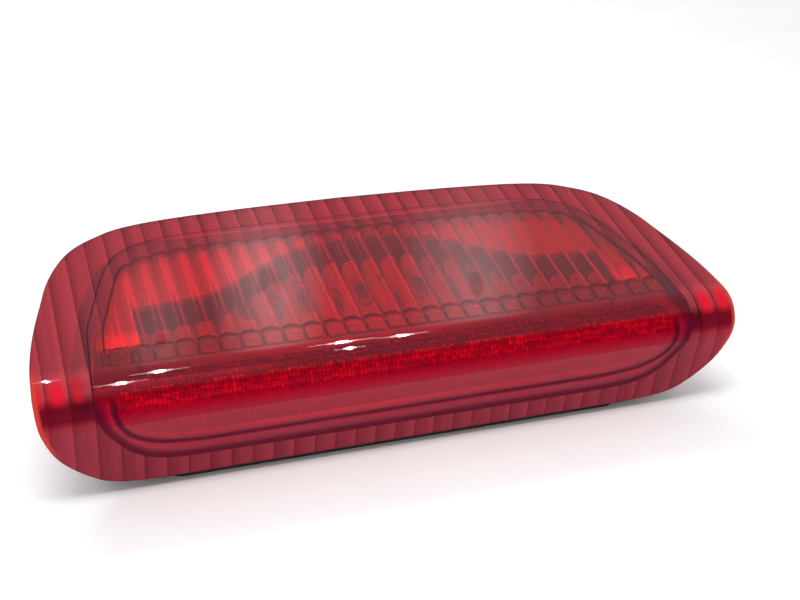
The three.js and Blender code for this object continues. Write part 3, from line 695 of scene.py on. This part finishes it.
def prism_material():
    """Red prisms of uneven brightness, with painted shade in their grooves and painted glints as bright
    dashes along the ridges between their rows.
    """
    mat, tree, shader, _ = material("red_prism_sheet")
    run = attribute(tree, "run")
    cell_x = arithmetic(tree, "MULTIPLY", along(tree, "X"), 1 / (CELL_WIDE * MM))
    cell_v = arithmetic(tree, "MULTIPLY", run, 1 / CELL_TALL)
    pitches = arithmetic(tree, "MULTIPLY", run, 1 / PITCH)
    each = lot(tree, cell_x, cell_v, 1, 1)
    block = lot(tree, cell_x, cell_v, 5, 2)
    across = arithmetic(tree, "PINGPONG", cell_x, 0.5)
    down = arithmetic(tree, "PINGPONG", cell_v, 0.5)
    every_second = arithmetic(tree, "PINGPONG", cell_v, 1.0)
    red = ramp(tree, each, [
        (0.0, (0.26, 0.001, 0.01)), (0.5, (0.5, 0.002, 0.02)), (1.0, (0.85, 0.008, 0.05)),
    ])
    # painted shade: darker at each prism's edges, in the grooves between them
    prisms = multiplied(
        tree, red, ramp(tree, block, [(0.0, 0.55), (0.6, 0.9), (1.0, 1.35)]),
        ramp(tree, across, [(0.0, 0.3), (0.2, 1.0)]), ramp(tree, down, [(0.0, 0.5), (0.12, 1.0)]),
    )
    # plain and even low down; painted light and shade: brightest just under the nose and dark over it
    plain = levels(tree, pitches, [(-1.4, 0.7), (-0.95, 0.0)])
    painted_brightness = levels(tree, pitches, [
        (-3.0, 0.7), (-1.2, 0.8), (-0.7, 0.95), (0.45, 0.85), (0.58, 0.3), (2.0, 0.2),
    ])
    colour = multiplied(tree, mixed(tree, plain, prisms, PLAIN_RED), painted_brightness)
    painted_glints = multiplied(
        tree, ramp(tree, every_second, [(0.0, 1.0), (0.2, 1.0), (0.32, 0.0)]),
        ramp(tree, across, [(0.06, 0.0), (0.16, 1.0)]), ramp(tree, each, [(0.3, 0.0), (0.6, 1.0)]),
        ramp(tree, block, [(0.25, 0.3), (0.5, 1.0)]),
        levels(tree, pitches, [(-0.95, 0.0), (-0.85, 1.0), (0.75, 1.0), (0.85, 0.5)]),
    )
    tree.links.new(mixed(tree, painted_glints, colour, PAINTED_GLINT), shader.inputs["Base Color"])
    shader.inputs["Roughness"].default_value = 0.25
    shader.inputs["Metallic"].default_value = 0.2
    return mat


sheet = build_prism_sheet()
sheet.data.materials.append(prism_material())
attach(sheet, "lamp")
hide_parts("inner_optic")


# ---------- floor, light and camera, in metres ----------

FLOOR_HALF = 14.0
CARD_HALF = 0.6
CARD_Y = -0.1  # in front of the lamp
CARD_LOW, CARD_HIGH = 0.0005, 0.115


def staged_quad(name, corners, mat):
    mesh = bpy.data.meshes.new(name)
    mesh.from_pydata(corners, [], [(0, 1, 2, 3)])
    mesh.materials.append(mat)
    obj = bpy.data.objects.new(name, mesh)
    bpy.context.scene.collection.objects.link(obj)
    return obj


def floor_material():
    mat, tree, shader, _ = material("pale_floor")
    mottle = ramp(tree, noise(tree, 6, 4), [(0.35, (0.92, 0.93, 0.92)), (0.7, (0.96, 0.97, 0.96))])
    tree.links.new(mottle, shader.inputs["Base Color"])
    shader.inputs["Roughness"].default_value = 0.6
    return mat


def card_material():
    """Glowing grey at the card's lower and upper edges, standing in for the floor and room in reflections,
    and black between them.
    """
    mat, tree, shader, _ = material("grey_to_black_card")
    glow = levels(tree, along(tree, "Z"), [
        (0.0, 0.5), (0.008, 0.42), (0.03, 0.07), (0.037, 0.0), (0.085, 0.0), (0.115, 0.4),
    ])
    tree.links.new(glow, shader.inputs["Emission Color"])
    shader.inputs["Emission Strength"].default_value = 1
    shader.inputs["Base Color"].default_value = (0.004, 0.004, 0.004, 1)
    shader.inputs["Specular IOR Level"].default_value = 0
    return mat


def softbox(name, place_m, target, size, power):
    """A lamp facing a target, with its long side level."""
    data = bpy.data.lights.new(name, "AREA")
    data.shape = "RECTANGLE"
    data.size, data.size_y = size
    data.energy = power
    obj = bpy.data.objects.new(name, data)
    obj.location = place_m
    back = (Vector(place_m) - Vector(target)).normalized()
    level = (Vector((1, 0, 0)) - back * back.x).normalized()
    obj.rotation_euler = Matrix((level, back.cross(level), back)).transposed().to_euler()
    bpy.context.scene.collection.objects.link(obj)
    return obj


def build_world():
    """A pale studio, brightest behind the lamp."""
    world = bpy.data.worlds.new("studio")
    world.use_nodes = True
    tree = world.node_tree
    coords = node(tree, "ShaderNodeTexCoord")
    split = node(tree, "ShaderNodeSeparateXYZ")
    tree.links.new(coords.outputs["Generated"], split.inputs[0])
    forward = arithmetic(tree, "MULTIPLY", split.outputs["Y"], -1)
    round_back = arithmetic(tree, "ARCTAN2", split.outputs["Z"], forward)
    sky = levels(tree, round_back, [(0.0, 0.6), (0.6, 0.46), (1.6, 0.48), (2.5, 0.72), (3.14, 0.72)])
    tinted = multiplied(tree, sky, (1.0, 0.97, 1.01, 1))
    tree.links.new(tinted, tree.nodes["Background"].inputs["Color"])
    bpy.context.scene.world = world


# name, place, target, size and power
ROOM_LAMPS = (
    ("key", (-0.2, -0.5, 1.5), (0, 0.0, 0.0), (0.9, 0.5), 14),
    ("floor_wash", (-0.3, 1.7, 1.6), (-0.1, 0.7, 0.0), (1.6, 0.8), 22),
    ("fill", (-0.2, -1.3, 0.35), (0, 0.0, 0.03), (1.2, 0.4), 4),
)
# place and width of the lamps whose reflections sparkle along the nose
CEILING_LAMPS = (
    (-0.127, 0.54, 1.178, 0.012), (-0.025, -0.32, 1.322, 0.024), (0.031, 0.141, 1.333, 0.026),
    (0.287, 0.4, 1.2, 0.03), (0.304, -0.136, 1.308, 0.014), (0.383, 0.285, 1.251, 0.024),
)
# each of them is a bright core in two fainter, flatter strips: share of its width, height, radiance
LAMP_PARTS = (("core", 0.6, 0.2, 140), ("wing", 1.4, 0.13, 16), ("tail", 3.2, 0.06, 8))
# place, size and radiance of the milky reflections on the upper face
SOFT_GLOWS = (
    (0.208, 0.794, 1.067, 0.17, 0.34, 0.55), (0.505, 0.735, 1.028, 0.2, 0.34, 0.4),
    (0.039, 0.759, 1.094, 0.12, 0.2, 0.2),
)
GLOW_STEPS = 9  # shrinking ellipses, stacked so that a glow has no edge
GLOW_SPACING = 0.004
GLOW_OVERLAP = 3  # about what a whole stack adds up to, in single ellipses


def ceiling_lamps():
    for number, (x, y, z, long) in enumerate(CEILING_LAMPS, 1):
        for part, wide, tall, radiance in LAMP_PARTS:
            made = softbox(
                f"ceiling_lamp_{number}_{part}", (x, y, z), (0, -0.05, 0.05), (long * wide, tall),
                radiance * math.pi * long * wide * tall,
            )
            made.visible_diffuse = made.visible_transmission = False


def soft_glows():
    for number, (x, y, z, wide, tall, radiance) in enumerate(SOFT_GLOWS, 1):
        for step in range(GLOW_STEPS):
            share = 1 - step / GLOW_STEPS
            power = radiance / GLOW_OVERLAP * math.pi * wide * tall * share * share
            made = softbox(
                f"soft_glow_{number}_{step + 1}", (x, y - GLOW_SPACING * step, z), (0, -0.03, 0.06),
                (wide * share, tall * share), power,
            )
            made.data.shape = "ELLIPSE"


staged_quad("floor", [
    (-FLOOR_HALF, -FLOOR_HALF, 0), (FLOOR_HALF, -FLOOR_HALF, 0),
    (FLOOR_HALF, FLOOR_HALF, 0), (-FLOOR_HALF, FLOOR_HALF, 0),
], floor_material())
# a card that only reflections show, as a studio flag does
card = staged_quad("flag_card", [
    (-CARD_HALF, CARD_Y, CARD_LOW), (CARD_HALF, CARD_Y, CARD_LOW),
    (CARD_HALF, CARD_Y, CARD_HIGH), (-CARD_HALF, CARD_Y, CARD_HIGH),
], card_material())
card.visible_camera = card.visible_diffuse = card.visible_transmission = card.visible_shadow = False

build_world()
for name, spot, target, size, power in ROOM_LAMPS:
    softbox(name, spot, target, size, power).visible_glossy = False
ceiling_lamps()
soft_glows()

camera_data = bpy.data.cameras.new("camera")
camera_data.sensor_width = 36
camera_data.lens = 56.9
camera_data.shift_y = 0.0054
camera = bpy.data.objects.new("camera", camera_data)
camera.location = (-0.1712, -0.5403, 0.2876)
camera.rotation_euler = Euler((math.radians(90 - 22.748), 0, math.radians(-18.854)))
bpy.context.scene.collection.objects.link(camera)
bpy.context.scene.camera = camera
bpy.context.scene.view_settings.view_transform = "Standard"
